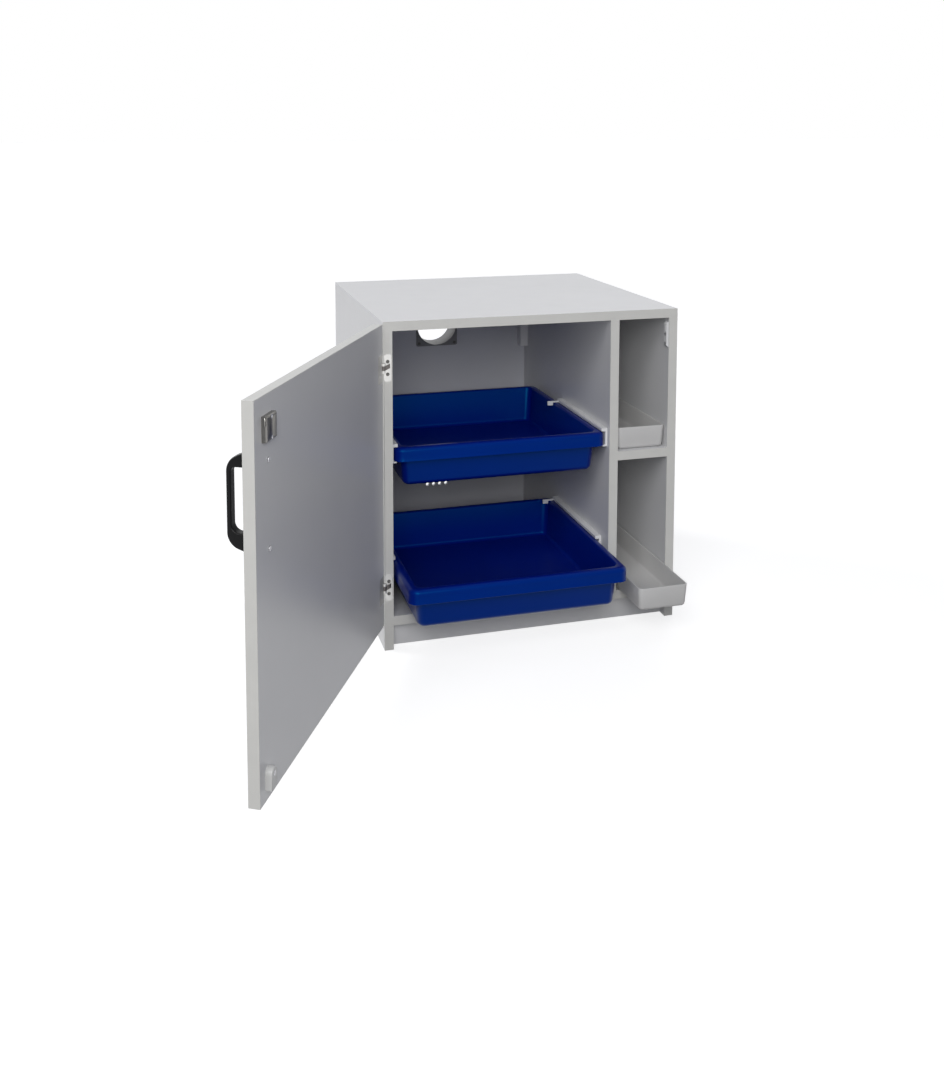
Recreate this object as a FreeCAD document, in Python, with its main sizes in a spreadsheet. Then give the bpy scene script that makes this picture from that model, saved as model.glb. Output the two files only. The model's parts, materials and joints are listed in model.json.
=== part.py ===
import FreeCAD, Part
import math
import os
import re

import Sketcher

V = FreeCAD.Vector
X_AXIS = V(1, 0, 0)
Y_AXIS = V(0, 1, 0)
Z_AXIS = V(0, 0, 1)

# A low laboratory cabinet for bottles of reagents. The main bay holds two blue trays on
# runners, the side bay holds two narrow bins, and one door covers both bays.
# The origin is on the floor, at the middle of the width and of the kickboard's thickness.
# X runs to the right, Y to the back and Z up. Lengths are in millimetres, angles in degrees.

sizes = {
    # The carcass is a box of faced chipboard on a recessed plinth.
    "cabinet_width": 600,
    "cabinet_depth": 550,
    "cabinet_height": 635,
    "panel_thick": 18,
    "band_thick": 1,
    "side_bay_width": 107,
    "lower_side_bay_height": 268,
    "plinth_height": 48,
    "plinth_setback": 22,
    "back_thick": 8,
    "back_setback": 12,
    "groove_depth": 6,
    "dowel_radius": 4,
    "dowel_in_face": 12,
    "dowel_in_edge": 18,
    "block_width": 18,
    "block_depth": 25,
    "block_height": 60,
    "block_drop": 147,

    # The duct spigot takes foul air out through the back. Fresh air comes in by the vent holes.
    "duct_bore_radius": 47,
    "duct_wall": 1,
    "duct_collar_wall": 1.6,
    "duct_collar_show": 1,
    "duct_length": 60,
    "duct_flange": 99,
    "duct_flange_thick": 3,
    "duct_flange_round": 4,
    "duct_drop": 90,
    "duct_fit": 0.3,
    "duct_screw_offset": 43,
    "vent_radius": 4,
    "vent_pitch": 15,
    "vent_rise": 75,

    # Chipboard screws with countersunk heads, and pan heads where a thin flange is held.
    "screw_radius": 1.75,
    "screw_head_radius": 3.5,
    "screw_head_height": 2,
    "screw_length": 14,
    "pan_head_height": 2.2,
    "cross_width": 0.9,
    "cross_depth": 1,

    # Each tray is a drafted tub that hangs from a wide rim with a skirt turned down round it.
    "tray_side_gap": 1.5,
    "tray_depth": 430,
    "tray_height": 80,
    "tray_wall": 3,
    "tray_rim": 14,
    "tray_skirt": 27,
    "tray_skirt_wall": 3,
    "tray_corner": 18,
    "tray_rim_round": 2.5,
    "tub_corner": 16,
    "tub_draft": 6.5,
    "tub_round": 10,
    "tray_setback": 3,
    "lower_tray_rise": 95,
    "tray_spacing": 230,
    "lower_tray_pull": 120,

    # A runner is a plastic channel: a web on the panel, a flange above the tray's rim and a
    # ledge under its skirt. A hook at the rear end reaches over the rim and stops the tray.
    "runner_length": 255,
    "runner_web": 4,
    "runner_flange": 12,
    "runner_flange_gap": 0.5,
    "runner_flange_thick": 6.5,
    "runner_ledge": 10,
    "runner_ledge_gap": 0.3,
    "runner_ledge_thick": 3,
    "upper_runner_setback": 12,
    "lower_runner_setback": 38,
    "hook_length": 5,
    "hook_inset": 5,
    "hook_reach": 25,
    "hook_gap": 1,
    "hook_thick": 3,
    "hook_tip": 12,
    "hook_drop": 5,

    # Each bin is a narrow open box with a small draft, which slides on the board under it.
    "bin_side_gap": 2,
    "bin_depth": 420,
    "bin_height": 45,
    "bin_wall": 3,
    "bin_draft": 3,
    "bin_corner": 9,
    "bin_round": 7,
    "bin_lip_round": 1.2,
    "bin_gap": 0.3,
    "bin_setback": 7,
    "lower_bin_pull": 115,

    # The door overlaps the carcass and stands open by the angle here. The pivot is just ahead
    # of the carcass and just inside its left face.
    "door_thick": 18,
    "door_foot_reveal": 3,
    "door_top_reveal": 4,
    "door_side_reveal": 1.5,
    "door_gap": 2,
    "pivot_inset": 0.3,
    "pivot_ahead": 1.2,
    "upper_hinge_drop": 83,
    "lower_hinge_rise": 73,
    "hinge_plate_width": 14,
    "hinge_plate_height": 52,
    "hinge_plate_thick": 2.5,
    "hinge_screw_offset": 12,
    "knuckle_radius": 4,
    "knuckle_gap": 0.3,
    "knuckle_play": 0.2,
    "leaf_knuckle": 5,
    "leaf_reach": 28,
    "arm_height": 8.5,
    "arm_proud": 1.6,
    "arm_rise": 4,
    "arm_reach": 12.9,
    "pin_radius": 1.5,
    "pin_play": 0.05,

    # The rim lock sits on the door's inner face. The key turns a plug in the cylinder, whose
    # cam throws the bolt into the keeper on the right side panel.
    "lock_drop": 46.5,
    "lock_from_edge": 44,
    "lock_case_width": 38,
    "lock_case_height": 37,
    "lock_case_depth": 8,
    "lock_bevel": 2,
    "lock_case_wall": 1,
    "lock_screw_offset": 15,
    "bolt_height": 12,
    "bolt_rise": 11.5,
    "bolt_thick": 2.4,
    "bolt_length": 15,
    "bolt_show": 3,
    "bolt_play": 0.2,
    "cylinder_radius": 8.5,
    "cylinder_play": 0.25,
    "plug_radius": 5,
    "plug_play": 0.05,
    "plug_show": 0.6,
    "escutcheon_radius": 13,
    "escutcheon_thick": 2,
    "escutcheon_bevel": 1.2,
    "cam_reach": 9,
    "cam_width": 5,
    "cam_thick": 1.5,
    "cam_play": 0.5,
    "keyway_width": 1.4,
    "keyway_height": 6,
    "keyway_depth": 8,
    "keeper_thick": 5,
    "keeper_depth": 13,
    "keeper_height": 51,
    "keeper_below_lock": 27.5,
    "keeper_setback": 1,
    "keeper_bevel": 4,
    "keeper_slot_play": 0.3,

    # The catch near the foot of the door presses a sprung plunger towards the bottom panel.
    "catch_width": 20,
    "catch_height": 32,
    "catch_depth": 10.5,
    "catch_gap": 2,
    "catch_from_edge": 29,
    "catch_round": 2,
    "plunger_radius": 3.5,
    "plunger_play": 0.2,
    "plunger_length": 9.7,
    "plunger_clear": 0.3,
    "catch_spring_room": 2.6,

    # The handle is a bow on the outer face, with a long lower foot and a short upper foot.
    "handle_from_edge": 48,
    "handle_drop": 234,
    "handle_height": 153,
    "handle_reach": 43.2,
    "handle_bar_thick": 7,
    "handle_bar_width": 16,
    "handle_lower_foot": 32,
    "handle_upper_foot": 26,
    "handle_slope": 14.4,
    "handle_outer_round": 25,
    "handle_lower_round": 13,
    "handle_upper_round": 7,
    "handle_edge_round": 2.4,
    "handle_screw_rise": 12,
    "handle_screw_span": 128,
    "handle_screw_radius": 2,
    "handle_screw_head": 3.8,
    "handle_screw_depth": 12,

    # One overrun lets every cutting tool pass clear through what it cuts, and edges are found
    # by their height to within one small tolerance.
    "overrun": 1,
    "tolerance": 0.001,
}

# The rest pose has the door open by this angle, and the vent holes stand in rows and columns.
open_angle = 118.4
vent_rows = 4
vent_columns = 4

# Places along a piece, as shares of its length.
dowel_place_shares = (0.12, 0.5, 0.88)
runner_screw_shares = (0.1, 0.5, 0.9)
keeper_screw_shares = (0.14, 0.5)

doc = FreeCAD.newDocument("ReagentDrawerCabinet")
sheet = doc.addObject("Spreadsheet::Sheet", "Sizes")
for row, (alias, number) in enumerate(sizes.items(), start=1):
    sheet.set(f"A{row}", alias)
    sheet.set(f"B{row}", str(number))
    sheet.setAlias(f"B{row}", alias)
doc.recompute()

nodes = []


def size(alias):
    """One size, read from its cell."""
    return float(sheet.get(alias))


def bind(piece, prop, text):
    """Ties a property to a formula, in which each size stands by its own name."""
    def cell(word):
        return "Sizes." + word.group() if word.group() in sizes else word.group()
    piece.setExpression(prop, re.sub(r"[a-z_]+", cell, str(text)))


def bind_place(piece, place):
    """Ties where a piece stands to three formulas."""
    for axis, text in zip("xyz", place):
        bind(piece, "Placement.Base." + axis, text)


def node(piece, label):
    """Names a finished sub-part."""
    piece.Label = label
    nodes.append(piece)
    return piece


def block(name, place, spans):
    """A box from its low corner and its three spans."""
    piece = doc.addObject("Part::Box", name)
    for prop, text in zip(("Length", "Width", "Height"), spans):
        bind(piece, prop, text)
    bind_place(piece, place)
    return piece


def rod(name, place, radius, length, along=Z_AXIS):
    """A round bar from the middle of its first end."""
    piece = doc.addObject("Part::Cylinder", name)
    piece.Placement = FreeCAD.Placement(V(), FreeCAD.Rotation(Z_AXIS, along))
    bind(piece, "Radius", radius)
    bind(piece, "Height", length)
    bind_place(piece, place)
    return piece


def group(name, pieces):
    """Separate solids that share one name."""
    piece = doc.addObject("Part::Compound", name)
    piece.Links = pieces
    return piece


def fused(name, pieces):
    """Solids joined into one."""
    piece = doc.addObject("Part::MultiFuse", name)
    piece.Shapes = pieces
    return piece


def cut(name, base, tools):
    """A solid less all its cutting tools."""
    piece = doc.addObject("Part::Cut", name)
    piece.Base = base
    piece.Tool = tools[0] if len(tools) == 1 else fused(name + "Tools", tools)
    return piece


def made(name, shape, place=None):
    """A solid that is worked out from the sheet's values."""
    piece = doc.addObject("Part::Feature", name)
    piece.Shape = shape
    if place is not None:
        piece.Placement = place
    return piece


def seats(name, screws):
    """The spaces that a group of screws fills, as one cutting tool."""
    return made(name, Part.makeCompound(screws(slotted=False)))


def origin_plane(body, role):
    """One of a body's own three planes."""
    return [feature for feature in body.Origin.OriginFeatures if feature.Role == role][0]


# Formulas for the main faces of the carcass.
LEFT = "(0 - cabinet_width / 2)"
RIGHT = "(cabinet_width / 2)"
LEFT_FACE = f"({LEFT} + panel_thick)"
RIGHT_FACE = f"({RIGHT} - panel_thick)"
FRONT = "(0 - plinth_setback - panel_thick / 2)"
CORE_FRONT = f"({FRONT} + band_thick)"
REAR = f"({FRONT} + cabinet_depth)"
BACK_FACE = f"({REAR} - back_setback - back_thick)"
FLOOR_TOP = "(plinth_height + panel_thick)"
ROOF = "(cabinet_height - panel_thick)"
SHELF = f"({FLOOR_TOP} + lower_side_bay_height)"
DUCT_LEVEL = f"({ROOF} - duct_drop)"
MAIN_BAY_WIDTH = "(cabinet_width - 3 * panel_thick - side_bay_width)"
DIVIDER = f"({LEFT_FACE} + {MAIN_BAY_WIDTH})"
SIDE_BAY = f"({DIVIDER} + panel_thick)"
INNER_WIDTH = "(cabinet_width - 2 * panel_thick)"
BAY_MIDDLE = f"({LEFT_FACE} + {MAIN_BAY_WIDTH} / 2)"
CORE_DEPTH = "(cabinet_depth - band_thick)"
BAY_DEPTH = f"({BACK_FACE} - {CORE_FRONT})"
LOWER_TRAY_TOP = f"({FLOOR_TOP} + lower_tray_rise)"
TRAY_TOPS = {"lower": LOWER_TRAY_TOP, "upper": f"({LOWER_TRAY_TOP} + tray_spacing)"}
TRAY_WIDTH = f"({MAIN_BAY_WIDTH} - 2 * runner_web - 2 * tray_side_gap)"
BIN_WIDTH = "(side_bay_width - 2 * bin_side_gap)"

# The same faces as numbers, for the pieces that are worked out here.
left = -size("cabinet_width") / 2
left_face = left + size("panel_thick")
right_face = -left_face
front = -size("plinth_setback") - size("panel_thick") / 2
main_bay_width = size("cabinet_width") - 3 * size("panel_thick") - size("side_bay_width")
divider_face = left_face + main_bay_width
bay_middle = left_face + main_bay_width / 2
floor_top = size("plinth_height") + size("panel_thick")
duct_level = size("cabinet_height") - size("panel_thick") - size("duct_drop")
lower_tray_top = floor_top + size("lower_tray_rise")
tray_tops = {"lower": lower_tray_top, "upper": lower_tray_top + size("tray_spacing")}
tray_width = main_bay_width - 2 * (size("runner_web") + size("tray_side_gap"))
door_width = size("cabinet_width") - 2 * size("door_side_reveal")
door_level = size("plinth_height") + size("door_foot_reveal")
door_top = size("cabinet_height") - size("door_top_reveal")
lock_level = door_top - size("lock_drop")
keeper_level = lock_level - size("keeper_below_lock")


def screw(place, along, head=None, countersunk=True, radius=None, length=None, slotted=True):
    """A cross-head screw whose head's outer face is at its place, driven along a direction.

    Without its cross slots the same solid is the seat that is cut for the screw.
    """
    head = head or size("screw_head_radius")
    radius = radius or size("screw_radius")
    length = length or size("screw_length")
    if countersunk:
        cap = Part.makeCone(head, radius, size("screw_head_height"))
        start = 0
    else:
        cap = Part.makeCylinder(head, size("pan_head_height"), V(0, 0, -size("pan_head_height")))
        rim = [edge for edge in cap.Edges if edge.BoundBox.ZMax < -size("tolerance")]
        cap = cap.makeFillet(size("pan_head_height") / 2, [rim[0]])
        start = -size("pan_head_height")
    body = cap.fuse(Part.makeCylinder(radius, length))
    slots = ((head, size("cross_width")), (size("cross_width"), head)) if slotted else ()
    for wide, deep in slots:
        slot = Part.makeBox(wide, deep, size("cross_depth"), V(-wide / 2, -deep / 2, start))
        body = body.cut(slot)
    body.Placement = FreeCAD.Placement(place, FreeCAD.Rotation(Z_AXIS, along))
    return body


def dowels():
    """Round wooden pegs across every joint of the carcass, a row to each joint."""
    across = "(dowel_in_face + dowel_in_edge)"
    pegs = []

    def row(name, place, along):
        for number, share in enumerate(dowel_place_shares, start=1):
            x, z = place
            y = f"{FRONT} + {share} * ({BACK_FACE} - {FRONT})"
            pegs.append(rod(f"{name}{number}", (x, y, z), "dowel_radius", across, along))

    half = "panel_thick / 2"
    for name, x in (("PegLeft", f"{LEFT} + {half}"), ("PegRight", f"{RIGHT} - {half}"),
                    ("PegDivider", f"{DIVIDER} + {half}")):
        row(name + "Top", (x, f"{ROOF} - dowel_in_edge"), Z_AXIS)
    row("PegDividerFoot", (f"{DIVIDER} + {half}", f"{FLOOR_TOP} - dowel_in_face"), Z_AXIS)
    for name, wall, z in (("PegFloor", LEFT_FACE, f"plinth_height + {half}"),
                          ("PegShelf", SIDE_BAY, f"{SHELF} + {half}")):
        row(name + "Left", (f"{wall} - dowel_in_face", z), X_AXIS)
        row(name + "Right", (f"{RIGHT_FACE} - dowel_in_edge", z), X_AXIS)
    for name, y in (("PegKick", "0"), ("PegRail", f"{REAR} - back_setback - {half}")):
        z = "plinth_height / 2"
        pegs.append(rod(name + "Left", (f"{LEFT_FACE} - dowel_in_face", y, z),
                        "dowel_radius", across, X_AXIS))
        pegs.append(rod(name + "Right", (f"{RIGHT_FACE} - dowel_in_edge", y, z),
                        "dowel_radius", across, X_AXIS))
    return node(group("CarcassDowels", pegs), "carcass_dowels")


# The door's own frame: X runs from the hinge edge along the door, Y out of its inner face
# and Z up. The pivot lies a little off the hinge edge, and the whole door turns about it.
swing = math.radians(open_angle)
pivot = V(left + size("pivot_inset"), front - size("pivot_ahead"), 0)
pivot_back = size("door_side_reveal") - size("pivot_inset")
pivot_out = size("door_gap") - size("pivot_ahead")
along_door = V(math.cos(swing), -math.sin(swing), 0)
off_door = V(math.sin(swing), math.cos(swing), 0)
door_place = FreeCAD.Placement(pivot + along_door * pivot_back - off_door * pivot_out,
                               FreeCAD.Rotation(Z_AXIS, -open_angle))
hinge_levels = (("upper", door_top - size("upper_hinge_drop")),
                ("lower", door_level + size("lower_hinge_rise")))


def stack_height():
    """How tall a hinge is at its pin: the arm between the leaf's two knuckles."""
    return size("arm_height") + 2 * (size("knuckle_play") + size("leaf_knuckle"))


def hinge_notches():
    """Round spaces about the pivot for the knuckles, cut from the panel and its edge band."""
    tall = stack_height() + 2 * size("knuckle_gap")
    wide = size("knuckle_radius") + size("knuckle_gap")
    return [Part.makeCylinder(wide, tall, pivot + V(0, 0, level - tall / 2))
            for _, level in hinge_levels]


def hinge_plate(level):
    """The pale plate let into the front edge of the left side panel."""
    wide = size("hinge_plate_width")
    tall = size("hinge_plate_height")
    thick = size("hinge_plate_thick")
    middle = left + size("panel_thick") / 2
    plate = Part.makeBox(wide, thick, tall, V(middle - wide / 2, front, level - tall / 2))
    upright = [edge for edge in plate.Edges if abs(edge.tangentAt(edge.FirstParameter).y) > 1 / 2]
    return plate.makeFillet(wide / 3, upright)


def hinge_arm(level):
    """The dark arm on the plate, which slopes down to the knuckle round the pin."""
    half = size("arm_height") / 2
    bend = pivot.x + size("knuckle_radius") + size("knuckle_gap")
    tip = pivot.x + size("arm_reach")
    rise = size("arm_rise")
    face = front - size("arm_proud")
    corners = [V(pivot.x, face, level - half), V(bend, face, level - half),
               V(tip, face, level + rise - half), V(tip, face, level + rise + half),
               V(bend, face, level + half), V(pivot.x, face, level + half)]
    wing = Part.Face(Part.makePolygon(corners + corners[:1])).extrude(V(0, size("arm_proud"), 0))
    foot = pivot + V(0, 0, level - half)
    knuckle = Part.makeCylinder(size("knuckle_radius"), size("arm_height"), foot)
    bore = Part.makeCylinder(size("pin_radius") + size("pin_play"), size("arm_height"), foot)
    return wing.fuse(knuckle).cut(bore)


def hinge_leaf(level):
    """The door's half of a hinge, in the door's frame: a plate with two knuckles."""
    tall = size("hinge_plate_height")
    thick = size("hinge_plate_thick")
    axis = V(-pivot_back, pivot_out, 0)
    plate = Part.makeBox(size("leaf_reach"), thick, tall, V(0, -thick, level - tall / 2))
    rounded = [edge for edge in plate.Edges
               if abs(edge.tangentAt(edge.FirstParameter).y) > 1 / 2 and edge.BoundBox.XMin > 0]
    plate = plate.makeFillet(size("hinge_plate_width") / 3, rounded)
    full = stack_height()
    gap = size("arm_height") + 2 * size("knuckle_play")
    room = size("knuckle_radius") + size("knuckle_gap")
    plate = plate.fuse(Part.makeCylinder(size("knuckle_radius"), full, axis + V(0, 0, level - full / 2)))
    plate = plate.cut(Part.makeCylinder(room, gap, axis + V(0, 0, level - gap / 2)))
    return plate.cut(Part.makeCylinder(size("pin_radius"), full, axis + V(0, 0, level - full / 2)))


def plate_screws(slotted=True):
    """Two screws through each fixed plate into the edge of the panel."""
    middle = left + size("panel_thick") / 2
    offset = size("hinge_screw_offset")
    return [screw(V(middle, front, level + side * offset), Y_AXIS, slotted=slotted)
            for _, level in hinge_levels for side in (1, -1)]


def leaf_screws(slotted=True):
    """Two screws through each leaf into the door, in the door's frame."""
    offset = size("hinge_screw_offset")
    return [screw(V(size("leaf_reach") / 2, 0, level + side * offset), -Y_AXIS, slotted=slotted)
            for _, level in hinge_levels for side in (1, -1)]


def runner_sides():
    """Each runner's name, tray height, setback and side."""
    for level in ("upper", "lower"):
        for side in ("left", "right"):
            yield level, side


def runner_screws(slotted=True):
    """Three countersunk screws through the web of each runner into the board behind it."""
    screws = []
    for level, side in runner_sides():
        toward = X_AXIS if side == "right" else -X_AXIS
        wall = divider_face if side == "right" else left_face
        middle = tray_tops[level] - size("tray_skirt") / 2
        for share in runner_screw_shares:
            y = front + size(f"{level}_runner_setback") + share * size("runner_length")
            head = V(wall, y, middle) - toward * size("runner_web")
            screws.append(screw(head, toward, slotted=slotted))
    return screws


def keeper_screws(slotted=True):
    """Two countersunk screws through the keeper into the right side panel."""
    x = right_face - size("keeper_thick")
    y = front + size("keeper_setback") + size("keeper_depth") / 2
    return [screw(V(x, y, keeper_level + share * size("keeper_height")), X_AXIS,
                  slotted=slotted)
            for share in keeper_screw_shares]


def duct_screws(slotted=True):
    """Four pan-head screws through the corners of the duct's flange."""
    offset = size("duct_screw_offset")
    face = front + size("cabinet_depth") - size("back_setback") - size("back_thick")
    start = face - size("duct_flange_thick")
    length = size("duct_flange_thick") + size("back_thick")
    return [screw(V(bay_middle + across * offset, start, duct_level + up * offset),
                  Y_AXIS, countersunk=False, length=length, slotted=slotted)
            for across in (-1, 1) for up in (-1, 1)]


def slab(name, place, spans, tools, label):
    """One board of the carcass with its bores and grooves."""
    return node(cut(name, block(name + "Board", place, spans), tools), label)


def vent_holes():
    """A square field of round holes low in the back panel."""
    holes = []
    for across in range(vent_columns):
        for up in range(vent_rows):
            x = f"{BAY_MIDDLE} + {across - (vent_columns - 1) / 2} * vent_pitch"
            z = f"{FLOOR_TOP} + vent_rise + {up} * vent_pitch"
            holes.append(rod(f"Vent{across}{up}", (x, f"{BACK_FACE} - overrun", z), "vent_radius",
                             "back_thick + 2 * overrun", Y_AXIS))
    return holes


def carcass():
    """The boards, their edge bands, pegs and corner blocks."""
    pegs = dowels()
    for name, screws, label in (("RunnerScrews", runner_screws, "runner_screws"),
                                ("StrikeScrews", keeper_screws, "strike_screws"),
                                ("HingePlateScrews", plate_screws, "hinge_plate_screws"),
                                ("DuctScrews", duct_screws, "duct_screws")):
        node(made(name, Part.makeCompound(screws())), label)
    runner_fixings = seats("RunnerSeats", runner_screws)
    keeper_fixings = seats("StrikeSeats", keeper_screws)
    plate_fixings = seats("HingePlateSeats", plate_screws)
    duct_fixings = seats("DuctSeats", duct_screws)
    notches = made("HingeNotches", Part.makeCompound(hinge_notches()))
    plates = made("HingePlatePockets",
                  Part.makeCompound([hinge_plate(level) for _, level in hinge_levels]))
    back = block("BackSeat",
                 (f"{LEFT_FACE} - groove_depth", BACK_FACE, "plinth_height + panel_thick - groove_depth"),
                 (f"{INNER_WIDTH} + 2 * groove_depth", "back_thick",
                  f"{ROOF} - {FLOOR_TOP} + 2 * groove_depth"))
    slab("TopPanel", (LEFT, CORE_FRONT, ROOF), ("cabinet_width", CORE_DEPTH, "panel_thick"),
         [pegs, back], "top_panel")
    slab("LeftSide", (LEFT, CORE_FRONT, "0"), ("panel_thick", CORE_DEPTH, ROOF),
         [pegs, back, runner_fixings, plate_fixings, plates, notches], "left_side_panel")
    slab("RightSide", (RIGHT_FACE, CORE_FRONT, "0"), ("panel_thick", CORE_DEPTH, ROOF),
         [pegs, back, keeper_fixings], "right_side_panel")
    slab("BottomPanel", (LEFT_FACE, CORE_FRONT, "plinth_height"),
         (INNER_WIDTH, CORE_DEPTH, "panel_thick"), [pegs, back], "bottom_panel")
    slab("Divider", (DIVIDER, CORE_FRONT, FLOOR_TOP),
         ("panel_thick", BAY_DEPTH, f"{ROOF} - {FLOOR_TOP}"), [pegs, runner_fixings], "divider_panel")
    slab("SideShelf", (SIDE_BAY, CORE_FRONT, SHELF),
         ("side_bay_width", BAY_DEPTH, "panel_thick"), [pegs], "side_shelf")
    slab("Kickboard", (LEFT_FACE, "0 - panel_thick / 2", "0"),
         (INNER_WIDTH, "panel_thick", "plinth_height"), [pegs], "kickboard")
    slab("RearRail", (LEFT_FACE, f"{REAR} - back_setback - panel_thick", "0"),
         (INNER_WIDTH, "panel_thick", "plinth_height"), [pegs], "rear_plinth_rail")
    duct_hole = rod("DuctHole", (BAY_MIDDLE, f"{BACK_FACE} - overrun", DUCT_LEVEL),
                    "duct_bore_radius + duct_collar_wall + duct_fit", "back_thick + 2 * overrun", Y_AXIS)
    node(cut("BackPanel", back, [duct_hole, duct_fixings] + vent_holes()), "back_panel")

    strips = [
        ("TopBand", LEFT, ROOF, "cabinet_width", "panel_thick"),
        ("RightBand", RIGHT_FACE, "0", "panel_thick", ROOF),
        ("FloorBand", LEFT_FACE, "plinth_height", INNER_WIDTH, "panel_thick"),
        ("DividerBand", DIVIDER, FLOOR_TOP, "panel_thick", f"{ROOF} - {FLOOR_TOP}"),
        ("ShelfBand", SIDE_BAY, SHELF, "side_bay_width", "panel_thick"),
    ]
    bands = [block(name, (x, FRONT, z), (wide, "band_thick", tall)) for name, x, z, wide, tall in strips]
    left_band = block("LeftBandStrip", (LEFT, FRONT, "0"), ("panel_thick", "band_thick", ROOF))
    bands.append(cut("LeftBand", left_band, [plates, notches]))
    node(group("CarcassEdgeBands", bands), "carcass_edge_bands")

    corners = [block(name, (x, f"{BACK_FACE} - block_depth", f"{ROOF} - block_drop"),
                     ("block_width", "block_depth", "block_height"))
               for name, x in (("LeftBlock", LEFT_FACE), ("RightBlock", f"{DIVIDER} - block_width"))]
    node(group("BackCornerBlocks", corners), "back_corner_blocks")


def duct():
    """The air outlet: a square flange inside the back and a plain tube through it."""
    half = "duct_flange / 2"
    flange = block("DuctFlange", (f"{BAY_MIDDLE} - {half}", f"{BACK_FACE} - duct_flange_thick",
                                  f"{DUCT_LEVEL} - {half}"),
                   ("duct_flange", "duct_flange_thick", "duct_flange"))
    doc.recompute()
    soft = doc.addObject("Part::Fillet", "DuctFlangeSoft")
    soft.Base = flange
    round_size = size("duct_flange_round")
    soft.Edges = [(number, round_size, round_size)
                  for number, edge in enumerate(flange.Shape.Edges, start=1)
                  if abs(edge.tangentAt(edge.FirstParameter).y) > 1 / 2]
    tube = rod("DuctTube", (BAY_MIDDLE, f"{BACK_FACE} - duct_flange_thick", DUCT_LEVEL),
               "duct_bore_radius + duct_wall", "duct_length", Y_AXIS)
    collar = rod("DuctCollar", (BAY_MIDDLE, f"{BACK_FACE} - duct_flange_thick", DUCT_LEVEL),
                 "duct_bore_radius + duct_collar_wall",
                 "duct_flange_thick + back_thick + duct_collar_show", Y_AXIS)
    bore = rod("DuctBore", (BAY_MIDDLE, f"{BACK_FACE} - duct_flange_thick - overrun", DUCT_LEVEL),
               "duct_bore_radius", "duct_length + 2 * overrun", Y_AXIS)
    tools = [bore, seats("DuctFlangeSeats", duct_screws)]
    node(cut("DuctSpigot", fused("DuctSolid", [soft, tube, collar]), tools), "duct_spigot")


def runner(level, side):
    """One channel with its rear hook, on the left panel or on the divider."""
    name = level.capitalize() + side.capitalize() + "Runner"
    right = side == "right"
    top = TRAY_TOPS[level]
    start = f"{FRONT} + {level}_runner_setback"
    wall = DIVIDER if right else LEFT_FACE
    low = f"{top} - tray_skirt - runner_ledge_gap - runner_ledge_thick"
    high = f"{top} + runner_flange_gap + runner_flange_thick"

    def part(word, inset, wide, y, deep, z, tall):
        x = f"{wall} - ({inset}) - ({wide})" if right else f"{wall} + ({inset})"
        return block(name + word, (x, y, z), (wide, deep, tall))

    tip = "runner_flange + hook_reach - hook_tip"
    rear = f"{start} + runner_length - hook_inset - hook_length"
    pieces = [
        part("Web", "0", "runner_web", start, "runner_length", low, f"{high} - ({low})"),
        part("Flange", "0", "runner_flange", start, "runner_length",
             f"{top} + runner_flange_gap", "runner_flange_thick"),
        part("Ledge", "0", "runner_ledge", start, "runner_length", low, "runner_ledge_thick"),
        part("HookBar", "runner_web", "runner_flange - runner_web + hook_reach", rear, "hook_length",
             f"{top} + hook_gap", "hook_thick"),
        part("HookTip", tip, "hook_tip", rear, "hook_length",
             f"{top} - hook_drop", "hook_drop + hook_gap + hook_thick"),
    ]
    tools = [seats(name + "Seats", runner_screws)]
    node(cut(name, fused(name + "Solid", pieces), tools), f"{level}_runner_{side}")


def rounded_sketch(body, name, height, wide, deep, corner):
    """A rectangle with round corners, centred on the body's origin at one height."""
    sketch = body.newObject("Sketcher::SketchObject", name)
    sketch.AttachmentSupport = [(origin_plane(body, "XY_Plane"), "")]
    sketch.MapMode = "FlatFace"
    bind(sketch, "AttachmentOffset.Base.z", height)
    turns = ((1, 1), (-1, 1), (-1, -1), (1, -1))
    unit = size("tray_corner")
    arcs = []
    for quarter, (across, back) in enumerate(turns):
        middle = V(across * 2 * unit, back * 2 * unit, 0)
        start = quarter * math.pi / 2
        arc = Part.ArcOfCircle(Part.Circle(middle, Z_AXIS, unit), start, start + math.pi / 2)
        arcs.append(sketch.addGeometry(arc, False))
    sides = []
    for quarter in range(4):
        following = arcs[(quarter + 1) % 4]
        line = Part.LineSegment(sketch.getPoint(arcs[quarter], 2), sketch.getPoint(following, 1))
        sides.append(sketch.addGeometry(line, False))
    for quarter in range(4):
        following = arcs[(quarter + 1) % 4]
        sketch.addConstraint(Sketcher.Constraint("Tangent", arcs[quarter], 2, sides[quarter], 1))
        sketch.addConstraint(Sketcher.Constraint("Tangent", sides[quarter], 2, following, 1))
        level = "Horizontal" if quarter % 2 == 0 else "Vertical"
        sketch.addConstraint(Sketcher.Constraint(level, sides[quarter]))
        if quarter:
            sketch.addConstraint(Sketcher.Constraint("Equal", arcs[0], arcs[quarter]))
    sketch.addConstraint(Sketcher.Constraint("Symmetric", arcs[0], 3, arcs[2], 3, -1, 1))
    measures = (
        ("wide", Sketcher.Constraint("DistanceX", arcs[1], 2, arcs[0], 1, 6 * unit), wide),
        ("deep", Sketcher.Constraint("DistanceY", arcs[3], 1, arcs[0], 2, 6 * unit), deep),
        ("corner", Sketcher.Constraint("Radius", arcs[0], unit), corner),
    )
    for word, constraint, text in measures:
        sketch.renameConstraint(sketch.addConstraint(constraint), word)
        bind(sketch, "Constraints." + word, text)
    return sketch


def loft(body, kind, name, profile, section):
    """A straight-sided solid or space between two outlines."""
    feature = body.newObject(kind, name)
    feature.Profile = profile
    feature.Sections = [section]
    feature.Ruled = True
    return feature


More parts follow.
